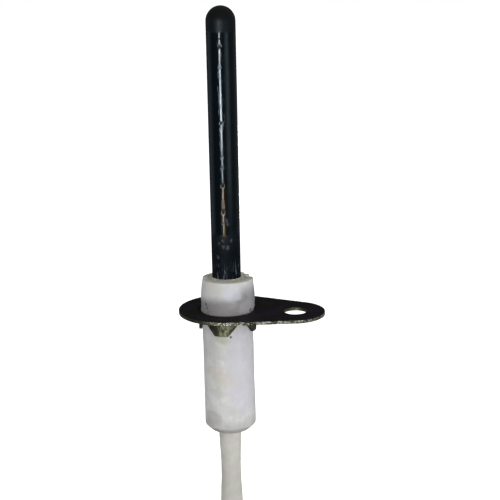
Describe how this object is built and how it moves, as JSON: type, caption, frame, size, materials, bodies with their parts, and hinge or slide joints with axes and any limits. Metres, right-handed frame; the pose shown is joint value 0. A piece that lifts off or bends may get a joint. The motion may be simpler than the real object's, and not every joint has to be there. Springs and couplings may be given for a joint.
{
  "type": "flame sensor probe",
  "caption": "Flame sensing rod in a ceramic insulator, gripped by a teardrop sheet bracket with spring teeth, with a sleeved lead in a tied hank that ends in a booted push-on terminal.",
  "frame": {"origin": "on the rod's axis, level with the bracket's mounting face", "axes": "+Z along the rod towards its tip, +X towards the bracket's lug"},
  "size_m": [0.0361, 0.022, 0.206],
  "materials": {
    "rod_metal": "heat-darkened, glossy",
    "ceramic": "unglazed, matt, heat-stained",
    "cement": "matt refractory cement",
    "bracket_steel": "oxidised sheet with heat tints and worn edges",
    "crimp_metal": "tinned",
    "copper": "bare copper strands",
    "sleeving": "braided glass-fibre sleeving",
    "lead_insulation": "satin silicone",
    "nylon": "natural nylon",
    "terminal_brass": "tinned brass",
    "boot_plastic": "satin flexible vinyl"
  },
  "bodies": {
    "bracket": {"mounting_bracket": "bracket_steel"},
    "probe": {"sensing_rod": "rod_metal", "insulator": "ceramic", "front_cement": "cement", "rear_cement": "cement", "splice_barrel": "crimp_metal", "splice_strands": "copper", "lead_sleeve": "sleeving", "lead_wire": "lead_insulation", "lead_hank": "lead_insulation", "hank_tie": "nylon", "lead_tail": "lead_insulation", "terminal": "terminal_brass", "terminal_strands": "copper"},
    "boot": {"terminal_boot": "boot_plastic"}
  },
  "joints": [
    {"name": "probe_turn", "type": "hinge", "parent": "bracket", "child": "probe", "pos_m": [0, 0, 0], "axis": [0, 0, 1], "continuous": true},
    {"name": "boot_slide", "type": "slide", "parent": "probe", "child": "boot", "axis": [0, 0, 1], "range_m": [0, 0.012]}
  ]
}
